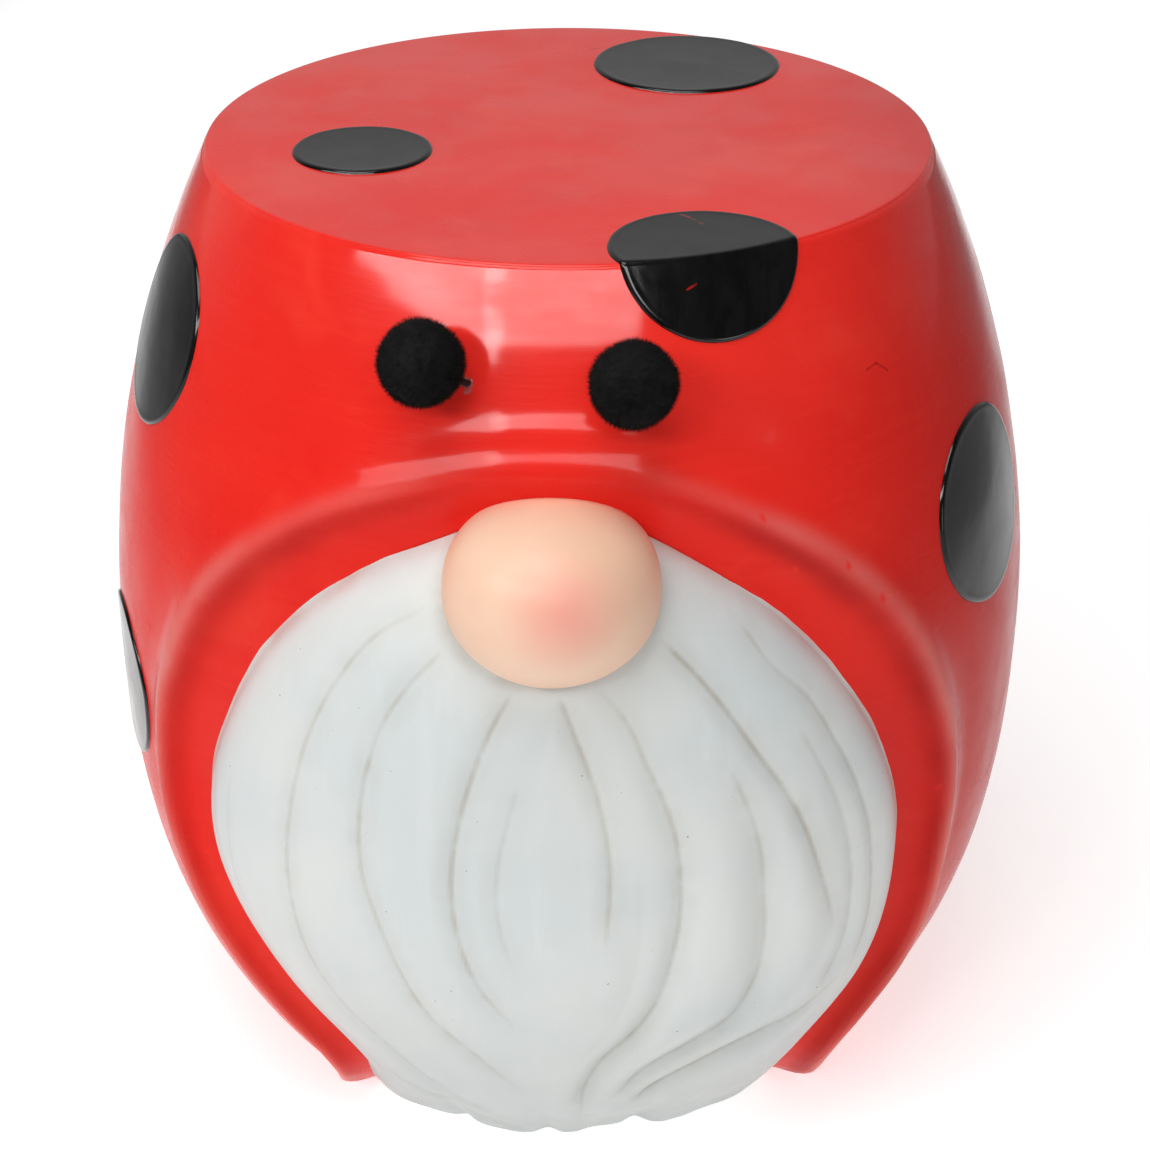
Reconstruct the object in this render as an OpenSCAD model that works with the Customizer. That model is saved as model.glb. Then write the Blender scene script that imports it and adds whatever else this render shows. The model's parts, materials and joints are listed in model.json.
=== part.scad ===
// Gnome garden stool. A hollow cast barrel is the hat, with black spots and a flat seat on top. An arched
// brim frames the beard, which closes the front. A ball nose sits under the brim, and two wire antennae
// carry pompoms. Origin: centre of the ground face. +Z is up, and the gnome looks towards -Y. Left and
// right are as seen from the front, so right is +X.

/* [Barrel] */
// Height from the ground to the seat
stool_h = 380; // [374:1:386]
// Radius at the ground
foot_r = 129; // [127:1:131]
// Radius at the widest point
belly_r = 184; // [182:1:186]
// Height of the widest point
belly_z = 185; // [182:1:188]
// Radius of the flat seat
seat_r = 137; // [135:1:139]
// Thickness of the cast wall
wall_t = 9; // [8:0.5:10]
// Thickness of the seat slab at its edge
seat_t = 13; // [12:1:15]

/* [Brim and beard] */
// Radius of the arch over the beard, measured round the wall
arch_r = 146; // [144:1:147]
// Height of the arch's centre
arch_z = 150; // [148:1:152]
// Half the gap between the brim's two ends at the ground, measured round the wall
leg_gap = 108; // [104:1:111]
// How far the brim's crest stands out from the wall
brim_h = 8; // [6:0.5:9]
// How far the second roll above the nose stands out from the wall
fold_h = 4.5; // [3:0.5:5]
// How far the beard's face lies behind the wall's face
beard_inset = 2; // [1:0.5:3]
// Depth of the grooves between the beard's locks
groove_d = 2; // [1:0.5:3]

/* [Nose] */
// Width of the ball nose
nose_w = 75; // [72:1:78]
// Height of the ball nose
nose_tall = 64; // [61:1:66]
// Height of the nose's centre
nose_z = 277; // [275:1:278]

/* [Antennae] */
// Diameter of the wire
wire_d = 2.4; // [2:0.1:2.8]
// Length from the bend to the middle of the pompom
stem_l = 22; // [21:0.5:24]
// Diameter of the pompoms
pompom_d = 30; // [28:1:31]
// Angle round the wall from the front to each antenna
antenna_turn = 10.8; // [10:0.2:12]
// Height of the two antenna holes
antenna_z = 343; // [340:1:345]

/* [Spots] */
// How far the spots stand proud
spot_rise = 1; // [0.6:0.1:1.4]

/* [Hidden] */
$fn = 96;

hat_red = [0.86, 0.13, 0.11];
spot_black = [0.06, 0.06, 0.07];
beard_white = [0.87, 0.88, 0.87];

// Distances round the wall are measured at this radius.
wrap_r = 175;
rise_power = 2.1;
fall_power = 2.55;
wall_steps = 22;

// Radius of the wall's face at height z.
function wall_r(z) =
    z >= belly_z
        ? belly_r - (belly_r - seat_r) * pow((z - belly_z) / (stool_h - belly_z), rise_power)
        : belly_r - (belly_r - foot_r) * pow((belly_z - z) / belly_z, fall_power);

// A point that lies u round the wall from the front, at height z, and out from the wall's face.
function on_wall(u, z, out = 0) =
    let (turn = u / wrap_r * 180 / PI, r = wall_r(z) + out) [r * sin(turn), -r * cos(turn), z];

// Side view of the wall's face between two heights, moved out by grow.
function wall_line(z0, z1, grow = 0) =
    [for (i = [0:wall_steps]) let (z = z0 + (z1 - z0) * i / wall_steps) [wall_r(z) + grow, z]];

// Angle below the arch's centre at which the brim's straight ends begin.
leg_turn = acos(leg_gap / arch_r);
leg_top = arch_z - arch_r * sin(leg_turn);
leg_steps = 6;

// One straight end of the arch, from below the ground up on the right, or down on the left.
function leg_line(side, gap) =
    [for (i = [0:leg_steps]) let (k = side > 0 ? i : leg_steps - i)
        [side * (leg_gap - gap), leg_top * k / leg_steps - 2]];

// Outline of the arch as u and z, made smaller all round by gap.
function arch_outline(gap) = concat(
    leg_line(1, gap),
    [for (i = [0:60]) let (a = (180 + 2 * leg_turn) * i / 60 - leg_turn)
        [(arch_r - gap) * cos(a), arch_z + (arch_r - gap) * sin(a)]],
    leg_line(-1, gap)
);

// The same outline seen from the front.
function arch_front(gap) = [for (p = arch_outline(gap)) [on_wall(p[0], p[1])[0], p[1]]];

// Solid barrel whose face and seat are moved out by grow.
module barrel(grow) {
    rotate_extrude()
        polygon(concat(
            [[0, 0]],
            wall_line(0, stool_h + min(grow, 0), grow),
            [[seat_r + grow, stool_h + grow], [0, stool_h + grow]]
        ));
}

// Layer that follows the wall and the seat, from low to high above their faces.
module skin(low, high) {
    difference() {
        barrel(high);
        barrel(low);
    }
}

// Block that passes through the front wall, with the arch's outline.
module arch_block(gap) {
    rotate([90, 0, 0])
        linear_extrude(belly_r + 20)
            polygon(arch_front(gap));
}

module nose_ball(grow) {
    translate([0, -wall_r(nose_z), nose_z])
        rotate_extrude()
            polygon([for (i = [-12:12])
                [(nose_w / 2 + grow) * cos(7.5 * i), (nose_tall / 2 + grow) * sin(7.5 * i)]]);
}

// Spots: a ball centred near the surface cuts a round patch from the skin. Each has its turn from the
// front, the height and distance from the axis of its centre, and its radius.
seat_back = [152, stool_h, 97.4, 38];
seat_left = [-72.3, stool_h, 79.7, 26.3];
front_edge = [22.8, stool_h - 1, 128.8, 33.2];
right_side = [63.8, 264, 176.5, 37.8];
upper_left = [-68.5, 322.5, 161.5, 36.3];
lower_left = [-71.3, 174, 182.7, 33.4];
rear_upper = [176, 300, 169, 37];
rear_right = [118, 148, 184, 36];
rear_left = [-134, 226, 183, 35];
rear_lower = [163, 86, 173, 31];
WALL_SPOTS = [front_edge, right_side, upper_left, lower_left, rear_upper, rear_right, rear_left, rear_lower];
SEAT_SPOTS = [seat_back, seat_left, front_edge];
// Each spot lies this deep in a bed that is wider and deeper by the gap.
spot_sink = 0.9;
spot_gap = 0.15;

module spot_ball(s, grow = 0) {
    rotate(s[0])
        translate([0, -s[2], s[1]])
            sphere(s[3] + grow);
}

module spot(s) {
    color(spot_black)
        intersection() {
            skin(-spot_sink, spot_rise);
            spot_ball(s);
        }
}

// The shallow beds that a list of spots lies in.
module spot_beds(list) {
    intersection() {
        skin(-spot_sink - spot_gap, 3);
        union()
            for (s = list)
                spot_ball(s, spot_gap);
    }
}

// Frame of one antenna's hole: its Z axis is the wall's outward normal, X runs right and Y up the wall.
wall_tilt = atan(wall_r(antenna_z - 1) / 2 - wall_r(antenna_z + 1) / 2);
module at_hole(side) {
    rotate(side * antenna_turn)
        translate([0, -wall_r(antenna_z), antenna_z])
            rotate([90 - wall_tilt, 0, 0])
                children();
}

hole_depth = 7;
hole_gap = 0.1;
// The wire bends this far out of the wall. Its fixed end is a ball there, and its free end has a cup.
bend_out = 3.6;
cup_r = 0.65 * wire_d;

// Each antenna leans away from the hole's normal, towards the direction that roll gives from X.
left_lean = 35;
left_roll = 152;
right_lean = 17;
right_roll = 168;

module wire_root(side) {
    root_start = 0.2 - hole_depth;
    color([0.1, 0.1, 0.1])
        at_hole(side) {
            translate([0, 0, root_start])
                cylinder(d = wire_d, h = bend_out - root_start);
            translate([0, 0, bend_out])
                sphere(d = wire_d);
        }
}

bead_r = 4.2;
bead_h = 2.2;
bead_gap = 0.12;
module glue_bead(side) {
    bore_r = wire_d / 2 + 0.02;
    color([0.9, 0.82, 0.78])
        at_hole(side)
            translate([0, 0, bead_gap])
                rotate_extrude()
                    polygon(concat(
                        [[bore_r, 0]],
                        [for (i = [0:7]) [bead_r * cos(10 * i), bead_h * sin(10 * i)]],
                        [[bore_r, bead_h]]
                    ));
}

// Frame of one antenna's free part: the origin is the bend, and Z runs along the wire.
module along_stem(side, lean, roll) {
    at_hole(side)
        translate([0, 0, bend_out])
            rotate([0, 0, roll])
                rotate([0, lean, 0])
                    children();
}

// The wire stops this far short of the pompom's middle.
core_gap = 3;
module stem(side, lean, roll) {
    color([0.1, 0.1, 0.1])
        along_stem(side, lean, roll)
            difference() {
                cylinder(d = wire_d, h = stem_l - core_gap);
                sphere(cup_r);
            }
}

module pompom(side, lean, roll) {
    color([0.03, 0.03, 0.03])
        along_stem(side, lean, roll)
            translate([0, 0, stem_l])
                difference() {
                    sphere(d = pompom_d);
                    translate([0, 0, -pompom_d])
                        cylinder(d = wire_d + 0.04, h = pompom_d - core_gap + 0.02);
                }
}

slab_z = stool_h - seat_t;
module hat_shell() {
    color(hat_red)
        difference() {
            rotate_extrude()
                polygon(concat(
                    wall_line(0, slab_z),
                    [for (i = [wall_steps:-1:0]) wall_line(0, slab_z, -wall_t)[i]]
                ));
            arch_block(0);
            nose_ball(0.3);
            spot_beds(WALL_SPOTS);
            for (side = [-1, 1])
                at_hole(side)
                    translate([0, 0, -hole_depth])
                        cylinder(d = wire_d + 2 * hole_gap, h = hole_depth + 5);
        }
}

// The slab rests on the wall, and its spigot centres it inside.
spigot_h = 9;
spigot_gap = 0.3;
module seat_slab() {
    spigot_r = wall_r(slab_z) - wall_t - spigot_gap;
    color(hat_red)
        difference() {
            rotate_extrude()
                polygon(concat(
                    [[0, slab_z - spigot_h], [spigot_r - 3, slab_z - spigot_h], [spigot_r, slab_z]],
                    wall_line(slab_z, stool_h),
                    [[0, stool_h]]
                ));
            spot_beds(SEAT_SPOTS);
        }
}

// Grooves between the locks: arcs that leave the nose, swell by bow and meet at the beard's tip.
groove_w = 3;
groove_bows = [1, 34, 68, 100];
module grooves() {
    half_h = nose_z / 2 + 5;
    intersection() {
        skin(-beard_inset - groove_d, 3);
        for (bow = groove_bows, side = [-1, 1]) {
            arc_r = (half_h * half_h + bow * bow) / (2 * bow);
            rotate([90, 0, 0])
                linear_extrude(belly_r + 20)
                    intersection() {
                        translate([side * (bow - arc_r), nose_z - half_h])
                            difference() {
                                circle(arc_r + groove_w / 2, $fn = 180);
                                circle(arc_r - groove_w / 2, $fn = 180);
                            }
                        translate([side * belly_r / 2, nose_z - half_h])
                            square([belly_r, 2 * half_h], center = true);
                    }
        }
    }
}

beard_gap = 0.3;
module beard() {
    beard_top = arch_z + arch_r + 2;
    color(beard_white)
        difference() {
            intersection() {
                rotate_extrude()
                    polygon(concat(
                        wall_line(0, beard_top, -beard_inset),
                        [for (i = [wall_steps:-1:0]) wall_line(0, beard_top, -beard_inset - wall_t)[i]]
                    ));
                arch_block(beard_gap);
            }
            grooves();
            nose_ball(0.3);
        }
}

module nose() {
    color([0.98, 0.8, 0.68])
        nose_ball(0);
}

// Brim: a roll swept along the arch. Its crest is nearer the edge over the nose than at the sides.
roll_gap = 0.2;
roll_edge = 0.6;
lip_h = 3;
side_w = 33;
brow_w = 31;
side_crest = 19;
brow_crest = 20;
function over_nose(a) = pow(max(0, sin(a)), 4);
function brim_w(a) = side_w + (brow_w - side_w) * over_nose(a);
function crest_s(a) = side_crest + (brow_crest - side_crest) * over_nose(a);
function brim_rise(s, a) =
    s < crest_s(a)
        ? lip_h + (brim_h - lip_h) * sin(90 * s / crest_s(a))
        : roll_edge + (brim_h - roll_edge) * (1 + cos(180 * (s - crest_s(a)) / (brim_w(a) - crest_s(a)))) / 2;

// The brim's width turns from square to the arch to level as it nears the straight ends.
turn_from = 15;
function brim_dir(a) = a >= -turn_from ? a : -turn_from * (leg_turn + a) / (leg_turn - turn_from);

// Stations along the right half of the brim, from the ground to the top: [u, z, direction of the width].
arc_stations = 30;
leg_stations = 8;
right_stations = concat(
    [for (i = [0:leg_stations]) [leg_gap, leg_top * i / (leg_stations + 1), 0]],
    [for (i = [0:arc_stations - 1]) let (a = (90 + leg_turn) * i / arc_stations - leg_turn)
        [arch_r * cos(a), arch_z + arch_r * sin(a), brim_dir(a)]]
);
brim_stations = concat(
    right_stations,
    [[0, arch_z + arch_r, 90]],
    [for (i = [len(right_stations) - 1:-1:0]) let (p = right_stations[i]) [-p[0], p[1], 180 - p[2]]]
);

// The angle that sets the brim's shape at a station, the same on both sides.
function shape_turn(dir) = dir > 90 ? 180 - dir : dir;
function step_out(p, s, out) = on_wall(p[0] + s * cos(p[2]), p[1] + s * sin(p[2]), out);

// Solid between cross-sections that are loops of points, with both ends closed.
module swept(rows) {
    count = len(rows[0]);
    last = len(rows) - 1;
    polyhedron(
        points = [for (row = rows) each row],
        faces = concat(
            [for (i = [0:last - 1], j = [0:count - 1])
                let (a = i * count + j, b = i * count + (j + 1) % count) [a, b, b + count]],
            [for (i = [0:last - 1], j = [0:count - 1])
                let (a = i * count + j, b = i * count + (j + 1) % count) [a, b + count, a + count]],
            [[for (j = [count - 1:-1:0]) j]],
            [[for (j = [0:count - 1]) last * count + j]]
        )
    );
}

roll_columns = 10;
module hat_brim() {
    color(hat_red)
        difference() {
            swept([for (p = brim_stations)
                let (a = shape_turn(p[2]), w = brim_w(a))
                    concat(
                        [for (j = [0:roll_columns]) let (s = w * j / roll_columns) step_out(p, s, brim_rise(s, a))],
                        [for (j = [roll_columns:-1:0]) step_out(p, w * j / roll_columns, roll_gap)]
                    )]);
            nose_ball(0.3);
        }
}

// The second roll lies against the brim above the nose and fades out down both sides.
fold_w = 12.5;
fold_from = 48;
fold_steps = 36;
module brow_fold() {
    color(hat_red)
        swept([for (i = [0:fold_steps])
            let (
                a = fold_from + (180 - 2 * fold_from) * i / fold_steps,
                p = [arch_r * cos(a), arch_z + arch_r * sin(a), a],
                s0 = brim_w(shape_turn(a)) + 0.4,
                fade = sin(180 * i / fold_steps)
            )
                concat(
                    [for (j = [0:roll_columns]) step_out(p, s0 + fold_w * j / roll_columns,
                        roll_edge + (fold_h - roll_edge) * fade * sin(180 * j / roll_columns))],
                    [for (j = [roll_columns:-1:0]) step_out(p, s0 + fold_w * j / roll_columns, roll_gap)]
                )]);
}

module seat_back_spot() spot(seat_back);
module seat_left_spot() spot(seat_left);
module front_spot() spot(front_edge);
module right_spot() spot(right_side);
module upper_left_spot() spot(upper_left);
module lower_left_spot() spot(lower_left);
module rear_upper_spot() spot(rear_upper);
module rear_right_spot() spot(rear_right);
module rear_left_spot() spot(rear_left);
module rear_lower_spot() spot(rear_lower);
module left_wire_root() wire_root(-1);
module left_glue_bead() glue_bead(-1);
module left_stem() stem(-1, left_lean, left_roll);
module left_pompom() pompom(-1, left_lean, left_roll);
module right_wire_root() wire_root(1);
module right_glue_bead() glue_bead(1);
module right_stem() stem(1, right_lean, right_roll);
module right_pompom() pompom(1, right_lean, right_roll);

hat_shell();
seat_slab();
hat_brim();
brow_fold();
beard();
nose();
seat_back_spot();
seat_left_spot();
front_spot();
right_spot();
upper_left_spot();
lower_left_spot();
rear_upper_spot();
rear_right_spot();
rear_left_spot();
rear_lower_spot();
left_wire_root();
left_glue_bead();
left_stem();
left_pompom();
right_wire_root();
right_glue_bead();
right_stem();
right_pompom();
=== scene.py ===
"""Gnome garden stool: the looks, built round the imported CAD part.

Shapes are worked out in millimetres and scaled to metres when a mesh is made. The gnome looks towards -Y.
"""
import json
import math

import bmesh
import bpy
import numpy as np
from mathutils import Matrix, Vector, noise


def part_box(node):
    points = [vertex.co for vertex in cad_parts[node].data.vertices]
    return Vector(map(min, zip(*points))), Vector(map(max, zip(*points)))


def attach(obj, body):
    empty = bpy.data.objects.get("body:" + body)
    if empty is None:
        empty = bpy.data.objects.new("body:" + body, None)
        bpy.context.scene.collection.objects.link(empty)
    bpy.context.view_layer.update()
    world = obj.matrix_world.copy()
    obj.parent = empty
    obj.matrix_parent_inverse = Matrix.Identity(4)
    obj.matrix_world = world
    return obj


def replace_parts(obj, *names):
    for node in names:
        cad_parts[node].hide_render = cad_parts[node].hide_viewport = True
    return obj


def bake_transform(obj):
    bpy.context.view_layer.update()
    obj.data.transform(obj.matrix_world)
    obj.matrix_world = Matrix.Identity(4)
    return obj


MM = 0.001
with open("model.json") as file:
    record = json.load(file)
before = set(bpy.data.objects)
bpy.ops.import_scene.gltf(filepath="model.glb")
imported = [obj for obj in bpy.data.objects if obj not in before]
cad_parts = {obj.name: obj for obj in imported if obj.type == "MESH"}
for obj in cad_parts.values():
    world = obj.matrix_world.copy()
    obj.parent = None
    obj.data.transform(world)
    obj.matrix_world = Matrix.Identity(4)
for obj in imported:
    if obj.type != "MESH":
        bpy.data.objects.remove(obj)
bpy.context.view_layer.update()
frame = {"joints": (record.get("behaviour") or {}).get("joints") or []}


def node_box(node):
    """Lowest and highest corner of a CAD node, in millimetres."""
    low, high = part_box(node)
    return np.array(low) / MM, np.array(high) / MM


def joint_named(name):
    """The frame's entry for a joint."""
    return next(j for j in frame["joints"] if j["name"] == name)


# ---------------------------------------------------------------- sizes, in millimetres
SEAT_Z = node_box("seat_slab")[1][2]
BELLY_R = 184.0
BELLY_Z = 185.0  # height of the widest place
FOOT_R = 129.0
SEAT_R = 137.0
WRAP_R = 175.0  # distances round the wall are measured at this radius
WALL_T = 9.0
ARCH_Z = 150.0  # height of the arch's centre
QUARTER = WRAP_R * math.pi / 2
WELD_M = 0.00001  # metres within which mesh points are made one
HALVINGS = 40  # steps when a value is found by halving its range
EDGE_CUT = 0.8  # the seat's edge is rounded over this length each way
WALL_TOP = SEAT_Z - EDGE_CUT * 0.89


# ---------------------------------------------------------------- curves and fields
def blend_knots(t, h, values, slope, i):
    """Values at a share t of the way from knots i to the next ones, h apart, with the slopes given there."""
    return (
        (1 + 2 * t) * (1 - t) ** 2 * values[i]
        + t * (1 - t) ** 2 * h * slope[i]
        + t * t * (3 - 2 * t) * values[i + 1]
        + t * t * (t - 1) * h * slope[i + 1]
    )


def curve(x, points):
    """Smooth line through points, level beyond both ends."""
    xs, ys = np.array(points, float).T
    slope = np.gradient(ys, xs)
    slope[0] = slope[-1] = 0
    x = np.asarray(x, float)
    i = np.clip(np.searchsorted(xs, x) - 1, 0, len(xs) - 2)
    h = xs[i + 1] - xs[i]
    return blend_knots(np.clip((x - xs[i]) / h, 0, 1), h, ys, slope, i)


def run_along(path):
    """Distance along a path from its start to each of its points."""
    return np.r_[0, np.cumsum(np.linalg.norm(np.diff(path, axis=0), axis=1))]


def unit(ways):
    """The same directions with a length of 1."""
    return ways / np.linalg.norm(ways, axis=-1, keepdims=True)


def halved(low, high, fits):
    """The last values that fit and the first that don't, found by halving the range between low and high."""
    for _ in range(HALVINGS):
        middle = (low + high) / 2
        good = fits(middle)
        low, high = np.where(good, middle, low), np.where(good, high, middle)
    return low, high


def smooth_path(points, step):
    """Points every step along a smooth curve through control points."""
    p = np.array(points, float)
    knots = run_along(p)
    slope = np.gradient(p, knots, axis=0)
    fine = np.linspace(0, knots[-1], 40 * len(p))
    i = np.clip(np.searchsorted(knots, fine) - 1, 0, len(p) - 2)
    h = (knots[i + 1] - knots[i])[:, None]
    t = ((fine - knots[i]) / h[:, 0])[:, None]
    line = blend_knots(t, h, p, slope, i)
    run = run_along(line)
    marks = np.linspace(0, run[-1], max(3, round(run[-1] / step)))
    return np.c_[[np.interp(marks, run, line[:, k]) for k in range(p.shape[1])]].T


def to_path(points, path):
    """Distance from each point to a path, and how far along the path the nearest place is, 0 to 1."""
    a, b = path[:-1], path[1:]
    run = run_along(path)
    best = np.full(len(points), 1e9)
    along = np.zeros(len(points))
    for k in range(len(a)):
        ab = b[k] - a[k]
        ap = points - a[k]
        t = np.clip(ap @ ab / (ab @ ab), 0, 1)
        off = ap - t[:, None] * ab
        dist = np.hypot(off[:, 0], off[:, 1])
        near = dist < best
        best[near] = dist[near]
        along[near] = (run[k] + t[near] * (run[k + 1] - run[k])) / run[-1]
    return best, along


def ease(x, low, high):
    """0 up to low, 1 from high, and a smooth rise between them."""
    t = np.clip((np.asarray(x, float) - low) / (high - low), 0, 1)
    return t * t * (3 - 2 * t)


def lumps(points, size, seed):
    """Smooth noise from -1 to 1 whose bumps are about size across."""
    shift = Vector((seed * 7.31, seed * 3.17, seed * 5.73))
    return np.array([noise.noise(Vector(p) / size + shift) for p in points])


def wall_r(z):
    """Radius of the barrel's face at a height."""
    up = np.clip((np.asarray(z, float) - BELLY_Z) / (SEAT_Z - BELLY_Z), 0, 1)
    down = np.clip((BELLY_Z - np.asarray(z, float)) / BELLY_Z, 0, 1)
    return BELLY_R - (BELLY_R - SEAT_R) * up**2.1 - (BELLY_R - FOOT_R) * down**2.55


def on_wall(u, z, out):
    """Point at a distance round the wall, a height, and a distance out from the wall's face."""
    r = wall_r(z) + out
    return np.c_[r * np.sin(u / WRAP_R), -r * np.cos(u / WRAP_R), z]


def casting(points):
    """Slight unevenness of the hand-finished casting, whose left side is a little flat."""
    flat = 1.1 * np.clip(-points[:, 0] / BELLY_R, 0, 1) ** 6
    return 0.45 * lumps(points, 75, 1) + 0.16 * lumps(points, 24, 2) - flat


# ---------------------------------------------------------------- meshes
def mesh_piece(name, points, faces):
    """An object with smooth shading, made from points in millimetres."""
    mesh = bpy.data.meshes.new(name)
    mesh.from_pydata((np.asarray(points) * MM).tolist(), [], [list(map(int, f)) for f in faces])
    bm = bmesh.new()
    bm.from_mesh(mesh)
    bmesh.ops.remove_doubles(bm, verts=bm.verts, dist=WELD_M)
    bmesh.ops.recalc_face_normals(bm, faces=bm.faces)
    bm.to_mesh(mesh)
    bm.free()
    mesh.polygons.foreach_set("use_smooth", [True] * len(mesh.polygons))
    mesh.update()
    piece = bpy.data.objects.new(name, mesh)
    bpy.context.scene.collection.objects.link(piece)
    return piece


def grid_faces(rows, columns, start=0, wrap=False):
    """Four-sided faces between neighbouring rows of points; wrap also joins the last column to the first."""
    j, i = np.meshgrid(np.arange(rows - 1), np.arange(columns if wrap else columns - 1), indexing="ij")
    j, i = j.ravel(), i.ravel()
    after = (i + 1) % columns
    near, far = j * columns, (j + 1) * columns
    return start + np.c_[near + i, near + after, far + after, far + i]


def shell(front, back, faces):
    """Points and faces of a closed solid: a front sheet, its copy behind it, and strips round the border."""
    faces = np.array(faces)
    count = len(front)
    seen = {}
    for f in faces:
        ring = [int(v) for v in f]
        for a, b in zip(ring, ring[1:] + ring[:1]):
            if a != b:
                seen.setdefault((min(a, b), max(a, b)), []).append((a, b))
    border = [pairs[0] for pairs in seen.values() if len(pairs) == 1]
    strips = [(b, a, a + count, b + count) for a, b in border]
    every = [list(dict.fromkeys(f)) for f in faces.tolist()]
    every += [list(dict.fromkeys(v + count for v in reversed(f))) for f in faces.tolist()]
    return np.r_[front, back], [f for f in every if len(f) > 2] + strips


def welded(points, faces):
    """The same sheet with points that coincide made one."""
    keys, place = {}, np.zeros(len(points), int)
    for n, p in enumerate(np.round(points, 2)):
        place[n] = keys.setdefault(tuple(p), len(keys))
    kept = np.zeros((len(keys), points.shape[1]))
    kept[place] = points
    return kept, place[np.array(faces)]


def ball_points(turn_count, lift_count):
    """Points on a ball of radius 1, in rows from its foot to its top."""
    turns = np.linspace(0, 2 * np.pi, turn_count, endpoint=False)
    lifts = np.linspace(-np.pi / 2, np.pi / 2, lift_count)
    return np.array(
        [(math.cos(b) * math.sin(a), -math.cos(b) * math.cos(a), math.sin(b)) for b in lifts for a in turns]
    )


# ---------------------------------------------------------------- the arch over the beard
EVEN_REACH = 4.0  # points on either side over which a bend is evened out


def evened(right, left):
    """Both sides' paths with small bends evened out as one line, so that they meet smoothly at the top."""
    top = len(right) - 1
    whole = np.r_[right, (left * [-1, 1])[::-1][1:]]
    marks = np.arange(len(whole))
    reach = np.minimum(EVEN_REACH, 0.1 + 0.4 * np.minimum(marks, marks[::-1]))
    weight = np.exp(-0.5 * ((marks[:, None] - marks[None, :]) / reach[:, None]) ** 2)
    whole = weight @ whole / weight.sum(axis=1)[:, None]
    whole[top, 0] = 0
    return whole[: top + 1], (whole[top:] * [-1, 1])[::-1]


# The hat's lower edge on each side, from the ground up: distance round the wall, and height. The casting is
# not quite even, so the two sides differ.
RIGHT_EDGE = [
    (135, 0), (129, 12), (124, 25), (124, 38), (131, 58), (141.5, 78), (146.5, 98), (147, 119),
    (145.5, 139), (142, 160), (135, 180), (124, 202), (110.5, 223), (95.5, 243), (77, 262), (54, 279.5),
    (38, 289.5), (20, 298), (0, 302),
]
LEFT_EDGE = [
    (112, 0), (102, 14), (98, 28), (101, 44), (113.5, 61), (126.5, 78), (137, 95), (145.5, 113),
    (151, 131), (151.5, 150), (145.5, 172), (136, 193), (124, 215), (109.5, 237), (91, 257), (64, 277.5),
    (40, 289), (20, 298), (0, 302),
]
right_path, left_path = evened(smooth_path(RIGHT_EDGE, 2.0), smooth_path(LEFT_EDGE, 2.0))
EDGES = {1: right_path, -1: left_path}


def arch_distance(u, z):
    """Distance from the hat's edge: positive on the hat, negative on the beard."""
    u, z = np.asarray(u, float), np.asarray(z, float)
    away = np.zeros(len(u))
    for side, edge in EDGES.items():
        mine = (u >= 0) == (side > 0)
        points = np.c_[np.abs(u[mine]), z[mine]]
        dist, _ = to_path(points, edge[::2])
        edge_u = np.interp(points[:, 1], edge[:, 1], edge[:, 0])
        inside = (points[:, 0] < edge_u) & (points[:, 1] < edge[-1, 1])
        away[mine] = np.where(inside, -dist, dist)
    return away


# Height of the brim over the wall against the distance from its edge, at the sides and above the nose.
SIDE_ROLL = [
    (0, -8.5), (3, -7.8), (8, -5.9), (13, -2.6), (17, 1.6), (20, 4.4), (22.5, 5.0), (25.5, 4.0),
    (30, 1.8), (36, 0.4), (43, 0),
]
BROW_ROLL = [
    (0, -6.5), (3, -4.6), (7, -0.8), (11, 2.2), (14, 3.3), (16.5, 3.6), (19, 3.3), (21.5, 2.75),
    (24, 2.4), (27, 2.4), (29.5, 2.15), (32, 1.6), (34.5, 1.25), (38, 1.1), (44, 1.1), (52, 0.9),
    (62, 0.4), (72, 0),
]
# Distance of the roll's crest from the edge, against the angle above level about the arch's centre. Both
# rolls are stretched to follow it.
CREST = [
    (-60, 12), (-38, 13), (-17, 13.5), (-5, 15.5), (8, 19.5), (20, 24), (35, 27.5), (50, 26.5),
    (65, 23.5), (78, 20), (90, 18),
]
SIDE_CREST = 20.5  # distance in SIDE_ROLL that falls on CREST
BROW_CREST = 17.5  # distance in BROW_ROLL that falls on CREST
BROW_REACH = 21.0  # degrees either side of the middle over which the brow's two rolls fade out


def brim_place(u, z):
    """Distance from the hat's edge, as a share of the crest's, and how much a place is brow, 0 to 1."""
    away = np.clip(arch_distance(u, z), 0, None)
    angle = np.degrees(np.arctan2(z - ARCH_Z, np.abs(u) + 1e-9))
    return away / curve(angle, CREST), np.exp(-(((90 - angle) / BROW_REACH) ** 2))


def hat_relief(u, z):
    """Height of the hat's rolled brim and brow over the plain wall."""
    u, z = np.asarray(u, float), np.asarray(z, float)
    share, brow = brim_place(u, z)
    rise = brow * curve(share * BROW_CREST, BROW_ROLL) + (1 - brow) * curve(share * SIDE_CREST, SIDE_ROLL)
    # The right leg stands out more than the left one near the ground.
    leg = 1 + np.where(u > 0, 0.35, -0.1) * (1 - ease(z, 20, 150))
    return np.where(rise > 0, rise * leg, rise)


def brim_marks(u, z):
    """How much painted shade lies in the cove's dark band, and how much painted pale reflection lies along
    the crest: two shares from 0 to 1.
    """
    share, brow = brim_place(u, z)
    # The cove's painted shade is stronger on the right side.
    cove = np.exp(-(((share - 0.84) / 0.22) ** 2)) * (1 - 0.85 * brow) * (0.6 + 0.4 * ease(u, 0, 90))
    # Painted pale reflection along the crest at the sides, weaker higher up.
    crest = np.exp(-(((share - 1.10) / 0.15) ** 2)) * (1 - brow) * (1 - 0.5 * ease(z, 190, 270))
    return cove, crest


FOOT_ROUND = 7.0  # radius of the hat's lower edge, round the foot


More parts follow.
